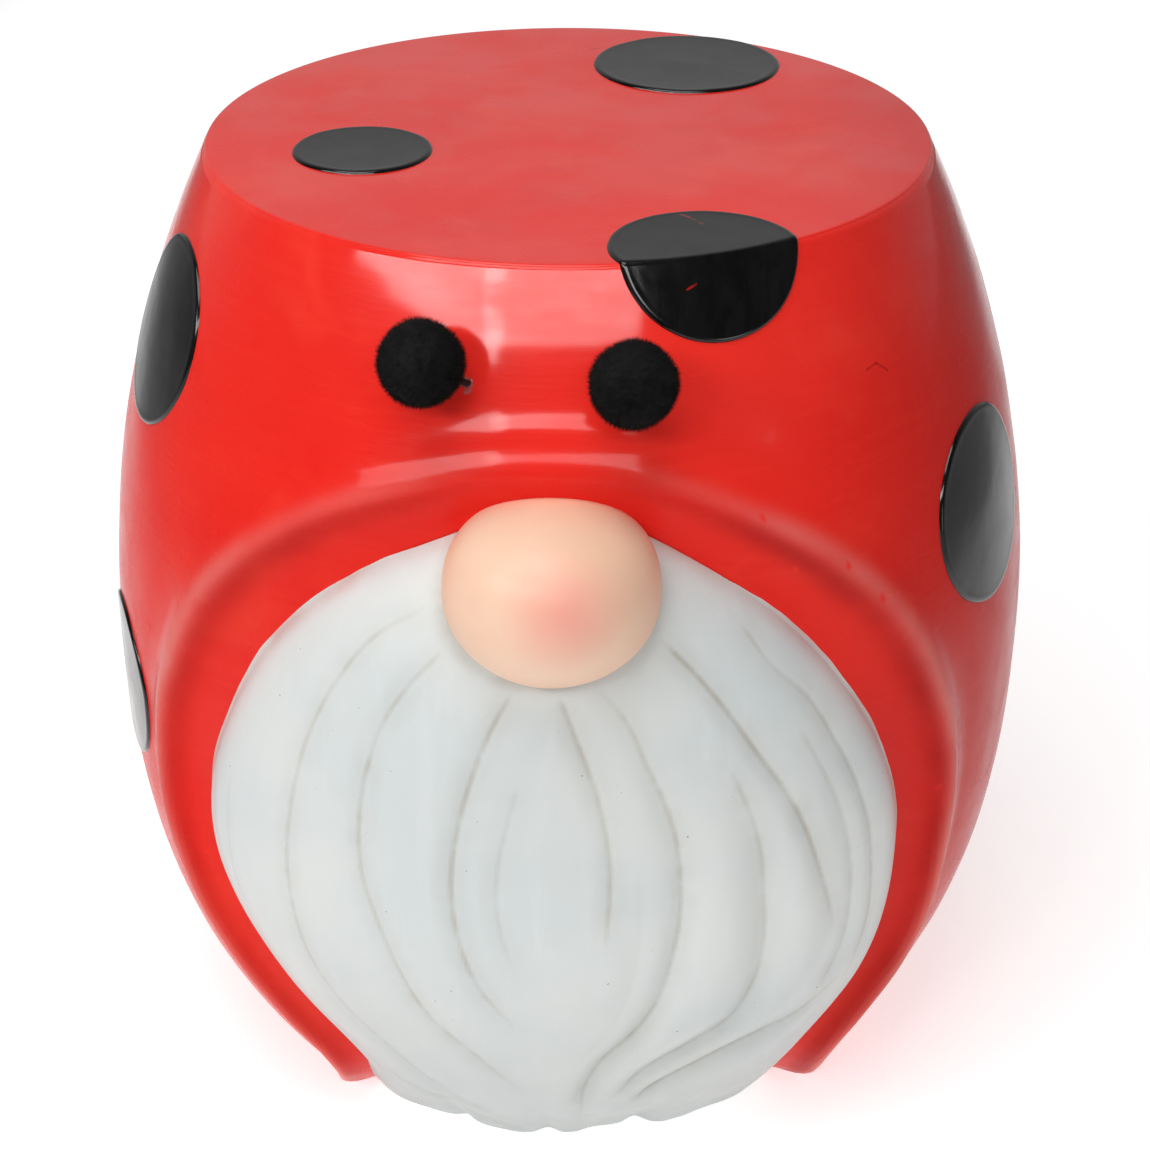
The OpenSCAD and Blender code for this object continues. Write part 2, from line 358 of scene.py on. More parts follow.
def foot_curl(z, radius):
    """How far a rounded lower edge draws back from the wall's face."""
    t = np.clip(1 - np.asarray(z, float) / radius, 0, 1)
    return radius * (1 - np.sqrt(1 - t * t))


HAT_LINES = 190  # mesh lines that leave each side of the arch
LEVEL_FROM = 120  # height below which those lines begin to turn level


def hat_stations(edge):
    """Where the mesh lines leave the edge of the arch, from the ground to the top."""
    run = run_along(edge)
    near_ground = [0, 0.35, 0.8, 1.4, 2.2, 3.2, 4.4, 6]
    marks = np.r_[near_ground, np.linspace(8, run[-1], HAT_LINES)]
    return np.c_[np.interp(marks, run, edge[:, 0]), np.interp(marks, run, edge[:, 1])]


def hat_border(edge):
    """Where each mesh line ends: a quarter turn round the wall, or at the seat."""
    angle = np.degrees(np.arctan2(edge[:, 1] - ARCH_Z, edge[:, 0]))
    # Towards the ground the mesh lines turn level.
    low = edge[:, 1] < LEVEL_FROM
    angle = np.where(low, angle.clip(-16, 90) * ease(edge[:, 1], 40, LEVEL_FROM), angle)
    slope = np.tan(np.radians(np.clip(angle, -89, 89.9)))
    z = edge[:, 1] + slope * (QUARTER - edge[:, 0])
    over = z > WALL_TOP
    u = np.where(over, edge[:, 0] + (WALL_TOP - edge[:, 1]) / np.where(over, slope, 1), QUARTER)
    u[-1] = 0
    corner = int(np.argmax(over))
    u[corner] = QUARTER
    return np.c_[u, np.minimum(z, WALL_TOP)], corner


HAT_ROWS = 72
REAR_LINES = 76
FIRST_ROW = 1.3  # distance between the hat's first two mesh rows


def hat_side(edge, border):
    """Sheet of points between one side's edge and the border, whose rows spread out away from the edge."""
    length = np.linalg.norm(border - edge, axis=1)
    wanted = FIRST_ROW * (HAT_ROWS - 1) / length

    def starts_wide(growth):
        return growth / np.expm1(np.where(growth == 0, 1e-9, growth)) > wanted

    low, high = halved(np.full(len(length), -4.0), np.full(len(length), 8.0), starts_wide)
    growth = (low + high)[:, None] / 2
    steps = np.linspace(0, 1, HAT_ROWS)[None, :]
    share = np.expm1(growth * steps) / np.expm1(growth)
    return edge[:, None, :] + share[:, :, None] * (border - edge)[:, None, :]


def build_hat():
    """The barrel's wall with the rolled brim and brow: two front quarters and the back, as one shell."""
    stations = {side: hat_stations(edge) for side, edge in EDGES.items()}
    border, corner = hat_border((stations[1] + stations[-1]) / 2)
    sheet = hat_side(stations[1], border)
    right = sheet.reshape(-1, 2)
    left = hat_side(stations[-1], border).reshape(-1, 2) * [-1, 1]
    rows, columns = sheet.shape[:2]
    faces = [grid_faces(rows, columns), grid_faces(rows, columns, len(right))[:, ::-1]]
    heights = border[: corner + 1, 1]
    turns = np.linspace(QUARTER, 3 * QUARTER, REAR_LINES)
    rear = np.array([(u, z) for z in heights for u in turns])
    faces.append(grid_faces(len(heights), len(turns), 2 * len(right)))
    flat = np.r_[right, left, rear]
    u, z = flat.T
    front = on_wall(u, z, 0)
    relief = hat_relief(np.where(u > QUARTER, QUARTER, u), z)
    out = relief + casting(front) * ease(WALL_TOP - z, 0, 20) - foot_curl(z, FOOT_ROUND)
    cove, crest = brim_marks(np.clip(u, -QUARTER, QUARTER), z)
    both = np.c_[on_wall(u, z, out), on_wall(u, z, -WALL_T + np.minimum(relief, 0)), cove, crest]
    both, faces = welded(both, np.concatenate(faces))
    points, solid = shell(both[:, :3], both[:, 3:6], faces)
    piece = mesh_piece("Hat", points, solid)
    store(piece, "cove", both[:, :3], both[:, 6])
    store(piece, "crest", both[:, :3], both[:, 7])
    return piece


# ---------------------------------------------------------------- seat and the side line of the barrel
def edge_bend():
    """The rounded edge between wall and seat, from the wall up."""
    corner = np.array([SEAT_R, SEAT_Z])
    below = np.array([float(wall_r(WALL_TOP)), WALL_TOP])
    inside = corner - [EDGE_CUT, 0]
    t = np.linspace(0, 1, 7)[:, None]
    return (1 - t) ** 2 * below + 2 * t * (1 - t) * corner + t * t * inside


def side_line():
    """Radius and height along the barrel's outline, from the ground to the middle of the seat."""
    z = np.arange(0, WALL_TOP, 1.0)
    wall = np.c_[wall_r(z), z]
    seat = np.c_[np.linspace(SEAT_R - EDGE_CUT - 1, 0, 130), np.full(130, SEAT_Z)]
    return np.r_[wall, edge_bend(), seat]


line = side_line()
line_run = run_along(line)
line_way = np.gradient(line, line_run, axis=0)
# Distance along the side line to the seat's edge.
EDGE_W = float(np.interp(SEAT_Z - 0.3, line[:, 1], line_run))


def on_barrel(turn, w, out):
    """Point at a turn in radians and a distance w along the side line, moved out square to the surface."""
    r = np.interp(w, line_run, line[:, 0])
    z = np.interp(w, line_run, line[:, 1])
    dr = np.interp(w, line_run, line_way[:, 0])
    dz = np.interp(w, line_run, line_way[:, 1])
    size = np.hypot(dr, dz)
    r = r + out * dz / size
    z = z - out * dr / size
    return np.c_[r * np.sin(turn), -r * np.cos(turn), z]


def seat_wave(points):
    """Slight unevenness of the painted seat."""
    return 0.12 * lumps(points, 60, 4) + 0.05 * lumps(points, 18, 5)


SEAT_TURNS = 216
SEAT_RINGS = 44
SEAT_T = 13.0
SEAT_TAPER = 0.93  # the seat's underside is smaller, so that it stays inside the wall


def build_seat():
    """The flat top with its rounded edge."""
    bend = edge_bend()
    rings = np.r_[bend, np.c_[np.linspace(SEAT_R - EDGE_CUT - 2, 0, SEAT_RINGS), np.full(SEAT_RINGS, SEAT_Z)]]
    turns = np.linspace(0, 2 * np.pi, SEAT_TURNS, endpoint=False)
    points = np.array([(r * math.sin(a), -r * math.cos(a), z) for r, z in rings for a in turns])
    radius = np.hypot(points[:, 0], points[:, 1])
    points[:, 2] += seat_wave(points) * ease(SEAT_R - radius, 1, 12)
    under = points * [SEAT_TAPER, SEAT_TAPER, 0] + [0, 0, SEAT_Z - SEAT_T]
    solid_points, faces = shell(points, under, grid_faces(len(rings), len(turns), wrap=True))
    return mesh_piece("Seat", solid_points, faces)


# ---------------------------------------------------------------- spots
# Height of a spot over the surface, against the distance in from its outline.
SPOT_RISE = [(-1, -0.6), (0, -0.3), (0.25, 0.35), (0.7, 0.85), (1.5, 1.08), (3, 1.0), (6, 0.9), (60, 0.9)]
# Turn from the front in degrees, height and distance from the axis of the centre, and radius.
WALL_SPOTS = {
    "right_spot": (63.8, 264, 176.5, 37.8),
    "upper_left_spot": (-68.5, 322.5, 161.5, 36.3),
    "lower_left_spot": (-71.3, 174, 182.7, 33.4),
    "rear_upper_spot": (176, 300, 169, 37),
    "rear_right_spot": (118, 148, 184, 36),
    "rear_left_spot": (-134, 226, 183, 35),
    "rear_lower_spot": (163, 86, 173, 31),
}
SEAT_SPOTS = {"seat_back_spot": (152, 380, 97.4, 38), "seat_left_spot": (-72.3, 380, 79.7, 26.3)}
FRONT_SPOT = (22.8, 379, 128.8, 33.2)
SPOT_BACK = 0.9  # how far a spot goes into the surface
SPOT_TURNS = 144


def ball_centre(spot):
    """Centre of the ball that cuts a spot's round outline out of the barrel."""
    turn = math.radians(spot[0])
    return np.array([spot[2] * math.sin(turn), -spot[2] * math.cos(turn), spot[1]])


def spot_inset(points, spot):
    """How far in from the spot's outline, which is a little uneven, each point lies."""
    return spot[3] - np.linalg.norm(points - ball_centre(spot), axis=1) + 0.3 * lumps(points, 13, 15)


def spot_lumps(base, inset):
    """Lumps of the thick paint, which fade out at a spot's outline."""
    return (0.04 * lumps(base, 9, 11) + 0.015 * lumps(base, 3.5, 12)) * ease(inset, 0, 3)


def spot_object(name, points, faces):
    """A spot's piece, which rides on the stool in place of the CAD spot."""
    piece = mesh_piece(name.title().replace("_", ""), points, faces)
    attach(piece, "stool")
    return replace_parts(piece, name)


def spot_piece(name, turn, w, faces, spot):
    """A spot from a sheet of places on the barrel, whose height follows the casting under it."""
    base = on_barrel(turn, w, 0)
    inset = spot_inset(base, spot)
    seat = ease(w, EDGE_W - 2, EDGE_W + 6)
    waves = casting(base) * (1 - ease(base[:, 2], WALL_TOP - 20, WALL_TOP)) + seat * seat_wave(base)
    round_wall = WRAP_R * np.arctan2(base[:, 0], -base[:, 1])
    waves += hat_relief(np.clip(round_wall, -QUARTER, QUARTER), base[:, 2]) * (1 - seat)
    rise = curve(inset, SPOT_RISE) + spot_lumps(base, inset)
    points, solid = shell(on_barrel(turn, w, rise + waves), on_barrel(turn, w, waves - SPOT_BACK), faces)
    return spot_object(name, points, solid)


# Distances in from a spot's outline at which it has a ring of points.
RING_INSETS = [0, 0.12, 0.25, 0.45, 0.7, 1.05, 1.5, 2.2, 3.0, 4.2, 6]


def outline_reach(turn0, w0, turn_scale, spot, ways):
    """Distance from the middle to the outline along each way."""

    def inside(reach):
        p = on_barrel(turn0 + reach * np.cos(ways) / turn_scale, w0 + reach * np.sin(ways), 0)
        return spot_inset(p, spot) >= 0

    return halved(np.zeros(len(ways)), np.full(len(ways), 80.0), inside)[0]


def build_round_spot(name, spot):
    """Rings round the middle of a spot on the wall."""
    turn0 = math.radians(spot[0])
    w0 = float(np.interp(spot[1], line[: int(WALL_TOP), 1], line_run[: int(WALL_TOP)]))
    ways = np.linspace(0, 2 * np.pi, SPOT_TURNS, endpoint=False)
    reach = outline_reach(turn0, w0, spot[2], spot, ways)
    rings = [reach - inset for inset in RING_INSETS]
    rings += [(reach - RING_INSETS[-1]) * f for f in np.linspace(1, 0, 18)[1:]]
    turn = np.concatenate([turn0 + r * np.cos(ways) / spot[2] for r in rings])
    w = np.concatenate([w0 + r * np.sin(ways) for r in rings])
    return spot_piece(name, turn, w, grid_faces(len(rings), len(ways), wrap=True), spot)


def build_seat_spot(name, spot):
    """Rings round the middle of a spot on the flat seat."""
    centre = ball_centre(spot)
    centre[2] = SEAT_Z
    ways = np.linspace(0, 2 * np.pi, SPOT_TURNS, endpoint=False)
    way = np.c_[np.cos(ways), np.sin(ways), 0 * ways]
    reach = spot[3] + spot_inset(centre + spot[3] * way, spot)
    radii = [reach - inset for inset in RING_INSETS]
    radii += [(reach - RING_INSETS[-1]) * f for f in np.linspace(1, 0, 16)[1:]]
    base = np.concatenate([centre + r[:, None] * way for r in radii])
    inset = spot_inset(base, spot)
    rise = curve(inset, SPOT_RISE) + spot_lumps(base, inset) + seat_wave(base)
    up = np.array([0, 0, 1.0])
    faces = grid_faces(len(radii), len(ways), wrap=True)
    points, solid = shell(base + rise[:, None] * up, base - SPOT_BACK * up, faces)
    return spot_object(name, points, solid)


def build_front_spot(name, spot):
    """Rows that run level across the spot, so that one follows the seat's edge."""
    turn0 = math.radians(spot[0])
    reach = outline_reach(turn0, EDGE_W, spot[2], spot, np.array([-np.pi / 2, np.pi / 2]))
    low, high = EDGE_W - reach[0], EDGE_W + reach[1]
    share = np.sin(np.linspace(-np.pi / 2, np.pi / 2, 61)[1:-1])
    round_edge = EDGE_W + np.array([-2.5, -1.6, -0.9, -0.4, 0, 0.4, 0.9, 1.6])
    levels = np.r_[(low + high) / 2 + (high - low) / 2 * share, round_edge]
    levels = np.sort(levels)
    levels = levels[np.r_[True, np.diff(levels) > 0.2]]
    across = np.sin(np.linspace(-np.pi / 2, np.pi / 2, 81))
    turns, ws = [], []
    for w in levels:
        half = outline_reach(turn0, w, spot[2], spot, np.zeros(1))
        turns.append(turn0 + half * across / spot[2])
        ws.append(np.full(len(across), w))
    faces = grid_faces(len(levels), len(across))
    return spot_piece(name, np.concatenate(turns), np.concatenate(ws), faces, spot)


# ---------------------------------------------------------------- beard
BEARD_ROWS = 185
BEARD_COLUMNS = 321
BEARD_TUCK = 6.0  # how far the beard runs in under the hat
BEARD_ROUND = 6.5  # radius of the beard's foot
BEARD_BACK = 2.5  # how far the beard's back lies behind the inside of the wall
BACK_STEP = 4  # the back of the beard needs only every fourth line
# Each groove: points (distance round the wall, height) from its upper end, depths in mm at its top, middle
# and foot, width of the soft valley, how sharp the crease is, and how strongly a darker beige tint lies along
# it.
GROOVES = [
    ([(-44, 268), (-62, 254), (-75, 234), (-85, 210), (-91.5, 183), (-95, 159), (-95, 135), (-91, 109),
      (-82, 89), (-65, 67), (-43, 38), (-14, 19)],
     (0.5, 0.9, 1.6), 6, 0.35, 0.55),
    ([(-37, 254), (-47, 241), (-55, 227), (-61, 208), (-65, 183), (-65, 161), (-60, 139), (-54, 117),
      (-44, 94), (-29, 76), (-15, 57)],
     (0.7, 1.3, 1.2), 5, 0.6, 0.75),
    ([(-13, 242), (-19, 229), (-25, 211), (-30, 190), (-33, 168), (-33, 151), (-30, 131), (-24, 113),
      (-14, 98)],
     (0.9, 1.4, 0.5), 4.5, 0.65, 0.8),
    ([(-11, 206), (-14, 192), (-17, 176), (-18, 156), (-16, 139), (-12, 124)],
     (0.2, 0.7, 0.2), 4, 0.5, 0.35),
    ([(3, 241), (8, 226), (13, 210), (17, 192), (19, 174), (19, 160), (18, 140)],
     (0.8, 1.2, 0.3), 4.5, 0.65, 0.7),
    ([(16, 244), (24, 232), (31, 214), (37, 198), (41, 182), (43, 163), (43, 143), (41, 125), (38, 108),
      (30, 89), (19, 73), (12, 53), (11, 32)],
     (0.6, 3.6, 5.2), 6, 0.3, 0.7),
    ([(36, 260), (47, 247), (58, 231), (69, 212), (79, 195), (86, 180), (92, 162), (98, 142), (102, 127)],
     (0.6, 1.8, 0.9), 5, 0.55, 0.85),
    ([(59, 208), (65, 192), (70, 174), (73, 151), (75, 126), (73, 106), (66, 90), (53, 79), (37, 66),
      (22, 45)],
     (0.2, 3.8, 4.8), 6.5, 0.3, 0.6),
    ([(66, 259), (76, 243), (90, 227), (101, 207), (111, 185), (118, 163), (121, 138), (121, 113),
      (114, 92)],
     (0.5, 1.8, 1.2), 5, 0.5, 0.5),
    ([(85, 217), (95, 196), (103, 176), (108, 156), (110, 134), (108, 110), (99, 92)],
     (0.2, 1.9, 1.6), 5, 0.35, 0.4),
    ([(109, 96), (93, 84), (78, 77), (63, 70), (47, 57), (31, 39)], (0.6, 4.0, 4.0), 6, 0.4, 1.0),
    ([(-124, 181), (-126, 154), (-125, 125), (-118, 99), (-105, 78), (-89, 58), (-73, 33)],
     (0.1, 1.0, 1.4), 6, 0.3, 0.3),
    ([(-136, 172), (-138, 146), (-134, 122), (-125, 98), (-112, 78)], (0.1, 0.8, 0.3), 4, 0.4, 0.15),
    ([(28, 170), (29, 146), (28, 124), (22, 100), (12, 82)], (0.1, 1.2, 0.4), 6, 0.1, 0.1),
    ([(-76, 48), (-58, 36), (-38, 22), (-18, 8)], (0.4, 1.4, 1.2), 4, 0.4, 0.5),
]
# Rounded ridges between the right-hand locks: points, height in mm at the middle, and width.
RIDGES = [
    ([(50, 205), (56, 184), (59, 160), (60, 132), (57, 110), (48, 94), (34, 80), (20, 62)], 2.2, 9),
    ([(76, 190), (84, 168), (89, 146), (92, 122), (88, 102), (74, 88), (54, 72), (34, 52)], 2.1, 9),
    ([(112, 150), (114, 128), (112, 106), (100, 88), (82, 68), (62, 48)], 1.8, 8),
    ([(6, 150), (4, 118), (2, 90), (0, 60)], 1.0, 16),
]


def beard_relief(u, z):
    """Height of the beard's face over the wall, and how much darker beige colour lies there: painted shade
    along the beard's border and round the nose, and a darker tint along the grooves.
    """
    gap = arch_distance(u, z)
    inward, tucked = np.clip(-gap, 0, None), np.clip(gap, 0, None)
    rise = -8 + 15.5 * (1 - np.exp(-inward / 17)) - 0.25 * tucked
    points = np.c_[u, z]
    # Painted shade: a beige band where the nose meets the beard, stronger on the nose's left, and a thin band
    # along the beard's border under the hat.
    nose = np.hypot(u / 37.5, (z - 277) / 32) - 1
    beside_nose = np.exp(-((nose / 0.11) ** 2)) * (0.55 - 0.43 * ease(u, -18, 12))
    shade_and_tint = np.maximum(0.18 * np.exp(-((inward / 4) ** 2)), beside_nose)
    for control, depths, width, crease, tint in GROOVES:
        path = smooth_path(control, 4.0)
        away, along = to_path(points, path)
        depth = curve(along, [(0, depths[0]), (0.55, depths[1]), (0.9, depths[2]), (1, 0.4 * depths[2])])
        ends = ease(along, -0.03, 0.05) * (1 - 0.7 * ease(along, 0.9, 1.0))
        reach = np.exp(-((away / width) ** 2))
        rise -= depth * ends * ((1 - crease) * reach + crease * np.exp(-away / (0.3 * width)))
        shade_and_tint = np.maximum(shade_and_tint, tint * ends * np.exp(-((away / 1.1) ** 2)))
        shade_and_tint = np.maximum(shade_and_tint, 0.25 * tint * ends * np.exp(-(((away - 2.0) / 3.5) ** 2)))
    for control, height, width in RIDGES:
        path = smooth_path(control, 4.0)
        away, along = to_path(points, path)
        rise += height * np.sin(np.pi * along.clip(0.02, 0.98)) ** 0.7 * np.exp(-((away / width) ** 2))
    ground = np.exp(-((z / 34) ** 2))
    foot_line = curve(u, FOOT_LINE)
    rise = rise * (1 - 0.75 * ground) + ground * foot_line
    return rise, shade_and_tint


# How far the foot of the beard stands from the wall's face, against the distance round the wall.
FOOT_LINE = [
    (-125, -6), (-108, -3), (-92, -2), (-74, -3), (-58, -4), (-51, -6), (-44, -3), (-30, -1), (-14, -1),
    (-5, -4.5), (2, -2), (9, -2), (17, -4.5), (34, -6), (44, -9), (52, -4), (66, -3), (80, -4), (100, -4),
    (125, -6),
]


def beard_rim(edge, tuck):
    """The beard's border on one side: the hat's edge moved outwards, under the hat."""
    way = np.gradient(edge, axis=0)
    rim = edge + tuck * unit(np.c_[way[:, 1], -way[:, 0]])
    rim[:, 1] = np.maximum.accumulate(rim[:, 1])
    return rim


def build_beard():
    """The beard from one border of the arch to the other, with a plainer back, its painted shade and groove
    tint, and its pink rim.
    """
    rims = {side: beard_rim(edge, BEARD_TUCK) for side, edge in EDGES.items()}
    top = min(rim[-1, 1] for rim in rims.values()) - 0.4
    levels = np.r_[[0, 0.3, 0.8, 1.5, 2.4, 3.5, 4.8, 6.4], np.linspace(8.2, top, BEARD_ROWS)]
    across = np.linspace(-1, 1, BEARD_COLUMNS)
    half = {side: np.interp(levels, rim[:, 1], rim[:, 0]) for side, rim in rims.items()}
    u = np.where(across > 0, half[1][:, None], half[-1][:, None]) * across
    u = u.ravel()
    z = np.repeat(levels, len(across))
    rise, shade_and_tint = beard_relief(u, z)
    fine = on_wall(u, z, 0)
    rise += 0.35 * lumps(fine * [1, 1, 0.45], 22, 21) + 0.1 * lumps(fine * [1, 1, 0.3], 6, 22)
    rise -= foot_curl(z, BEARD_ROUND)
    front = on_wall(u, z, rise)
    rows, columns = len(levels), len(across)
    keep_rows = np.unique(np.r_[np.arange(0, rows, BACK_STEP), rows - 1])
    keep_columns = np.arange(0, columns, BACK_STEP)
    pick = (keep_rows[:, None] * columns + keep_columns[None, :]).ravel()
    back = on_wall(u[pick], z[pick], -WALL_T - BEARD_BACK)
    faces = [list(f) for f in grid_faces(rows, columns)]
    start = len(front)
    faces += [list(f[::-1]) for f in grid_faces(len(keep_rows), len(keep_columns), start)]
    place = {int(p): start + n for n, p in enumerate(pick)}
    number = np.arange(rows * columns).reshape(rows, columns)
    border = [number[0], number[:, -1], number[-1, ::-1], number[::-1, 0]]
    for side in (ring.tolist() for ring in border):
        last = side[0]
        for a, b in zip(side, side[1:]):
            if b in place:
                faces.append([b, a, place[last], place[b]])
                last = b
            else:
                faces.append([b, a, place[last]])
    piece = mesh_piece("Beard", np.r_[front, back], faces)
    store(piece, "shade_and_tint", front, shade_and_tint)
    inward = np.clip(-arch_distance(u, z), 0, None)
    store(piece, "pink", front, np.exp(-((inward / 3.2) ** 2)) * ease(z, 20, 120))
    return piece


def store(piece, name, points, values):
    """Keeps a value at each point of a piece, found again by its place; points not listed get 0."""
    value_at = {tuple(np.round(p, 2)): v for p, v in zip(points, values)}
    co = np.zeros(len(piece.data.vertices) * 3)
    piece.data.vertices.foreach_get("co", co)
    found = [value_at.get(tuple(np.round(p, 2)), 0.0) for p in co.reshape(-1, 3) / MM]
    layer = piece.data.attributes.new(name, "FLOAT", "POINT")
    layer.data.foreach_set("value", np.array(found, np.float32))


# ---------------------------------------------------------------- nose
def build_nose():
    """The ball nose."""
    low, high = node_box("nose")
    centre, half = (low + high) / 2, (high - low) / 2
    turn_count, lift_count = 96, 65
    ball = ball_points(turn_count, lift_count)
    # A little flatter on top and fuller below, as the ball was pressed under the brim.
    shape = half * ball
    shape[:, 2] -= 1.4 * np.clip(ball[:, 2], 0, 1) ** 3
    shoulder = np.clip(2 * ball[:, 2] * np.sqrt(1 - ball[:, 2].clip(-1, 1) ** 2), 0, 1)
    shape *= (1 + 0.05 * shoulder**2)[:, None]
    points = centre + shape
    points += ball * (0.3 * lumps(points, 26, 31))[:, None]
    return mesh_piece("Nose", points, grid_faces(lift_count, turn_count, wrap=True))


# ---------------------------------------------------------------- antennae
WIRE_R = 1.2
TUBE_SIDES = 14
# A direction that no part of either wire follows, from which the tube's sideways direction is worked out.
OFF_WIRE = [0.31, 0.12, 0.94]


def tube(path, radii):
    """Points and faces of a closed tube along a path, with a radius at each point of it."""
    way = unit(np.gradient(path, axis=0))
    side = unit(np.cross(way, OFF_WIRE))
    other = np.cross(way, side)
    turns = np.linspace(0, 2 * np.pi, TUBE_SIDES, endpoint=False)
    rings = [
        c + r * (np.cos(turns)[:, None] * s + np.sin(turns)[:, None] * o)
        for c, r, s, o in zip(path, radii, side, other)
    ]
    faces = [list(f) for f in grid_faces(len(path), TUBE_SIDES, wrap=True)]
    last = (len(path) - 1) * TUBE_SIDES
    faces += [list(range(TUBE_SIDES))[::-1], [last + k for k in range(TUBE_SIDES)]]
    return np.concatenate(rings), faces


def build_antenna(side):
    """One antenna's wire, which bends at its glue, with its pool of glue and its pompom."""
    body = f"{side}_antenna"
    pivot = np.array(joint_named(f"{side}_antenna_bend")["pos_m"]) / MM
    low, high = node_box(f"{side}_pompom")
    centre = (low + high) / 2
    root_low, root_high = node_box(f"{side}_glue_bead")
    foot = (root_low + root_high) / 2
    normal = unit(pivot - foot)
    # The wire leaves its hole square to the wall, bends, and runs into the pompom.
    reach = centre - pivot
    control = [pivot - 7.5 * normal, pivot - 2.2 * normal, pivot, pivot + 0.12 * reach, pivot + 0.85 * reach]
    path = smooth_path(control, 0.55)
    radii = np.full(len(path), WIRE_R)
    radii[:2] = [0.9, 1.15]
    radii += 0.05 * np.sin(np.arange(len(path)) * 1.7)
    points, faces = tube(path, radii)
    wire = mesh_piece(f"Wire_{side}", points, faces)
    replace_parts(wire, f"{side}_wire_root", f"{side}_stem")
    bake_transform(wire)
    glue = build_glue(side, foot, normal)
    pompom = build_pompom(side, centre, (high[0] - low[0]) / 2)
    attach(pompom, body)
    return wire, glue, pompom


def build_glue(side, foot, normal):
    """A thin lumpy pool of clear glue round the foot of the wire."""
    across = unit(np.cross(normal, [0, 0, 1]))
    up = np.cross(across, normal)
    seed = 41 if side == "left" else 47
    rng = np.random.default_rng(seed)
    wobble = rng.uniform(-1, 1, 6)
    turns = np.linspace(0, 2 * np.pi, 60, endpoint=False)
    reach = 5.4 + 0.9 * wobble[0] * np.sin(turns + wobble[1] * 3)
    reach += 0.7 * wobble[2] * np.sin(2 * turns + 3 * wobble[3])
    reach += 0.35 * np.sin(5 * turns + 3 * wobble[4]) + 0.2 * np.sin(9 * turns)
    shares = np.linspace(1, 0, 16)
    rim = np.c_[reach * np.cos(turns), reach * np.sin(turns)]
    flat = np.concatenate([f * rim for f in shares])
    share = np.repeat(shares, len(turns))
    height = 1.7 * (1 - share**2.6) - 0.4
    height += 0.3 * lumps(np.c_[flat, flat[:, :1] * 0], 2.2, seed) * (1 - share**4)
    base = foot - 0.6 * normal
    spread = base + flat[:, :1] * across + flat[:, 1:] * up
    faces = grid_faces(len(shares), len(turns), wrap=True)
    points, faces = shell(spread + height[:, None] * normal, spread - 1.2 * normal, faces)
    glue = mesh_piece(f"Glue_{side}", points, faces)
    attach(glue, "stool")
    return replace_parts(glue, f"{side}_glue_bead")


FIBRES = 14000  # in each pompom
FIBRE_ROOT = 1.2  # the core ends this far inside the pompom, and the fibres start as far inside the core


def build_pompom(side, centre, radius):
    """A lumpy ball of short fibres."""
    rng = np.random.default_rng(5 if side == "left" else 6)
    core_r = radius - FIBRE_ROOT
    turn_count, lift_count = 72, 49
    ball = ball_points(turn_count, lift_count)
    seed = 51 if side == "left" else 58
    bulge = 0.9 * lumps(ball * 10, 9, seed) + 0.5 * lumps(ball * 10, 3, seed + 1)
    bulge = bulge + 0.3 * rng.uniform(-1, 1, len(ball))
    points = [centre + ball * (core_r + bulge)[:, None]]
    faces = [list(f) for f in grid_faces(lift_count, turn_count, wrap=True)]
    way = unit(rng.normal(size=(FIBRES, 3)))
    lean = unit(way + 0.35 * rng.normal(size=(FIBRES, 3)))
    tip_r = radius + 0.5 + 0.8 * lumps(way * 10, 9, seed) + rng.uniform(-0.9, 0.7, FIBRES)
    foot = centre + way * (core_r - FIBRE_ROOT)
    tip = foot + lean * (tip_r - core_r + FIBRE_ROOT)[:, None]
    side_way = unit(np.cross(lean, rng.normal(size=(FIBRES, 3))))
    third_way = np.cross(lean, side_way)
    thick = rng.uniform(0.12, 0.2, FIBRES)[:, None]
    corners = [foot + thick * (math.cos(a) * side_way + math.sin(a) * third_way) for a in (0, 2.1, 4.2)]
    start = len(ball)
    points += [np.stack([*corners, tip], axis=1).reshape(-1, 3)]
    for k in range(FIBRES):
        n = start + 4 * k
        faces += [[n, n + 1, n + 3], [n + 1, n + 2, n + 3], [n + 2, n, n + 3]]
    pompom = mesh_piece(f"Pompom_{side}", np.concatenate(points), faces)
    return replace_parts(pompom, f"{side}_pompom")


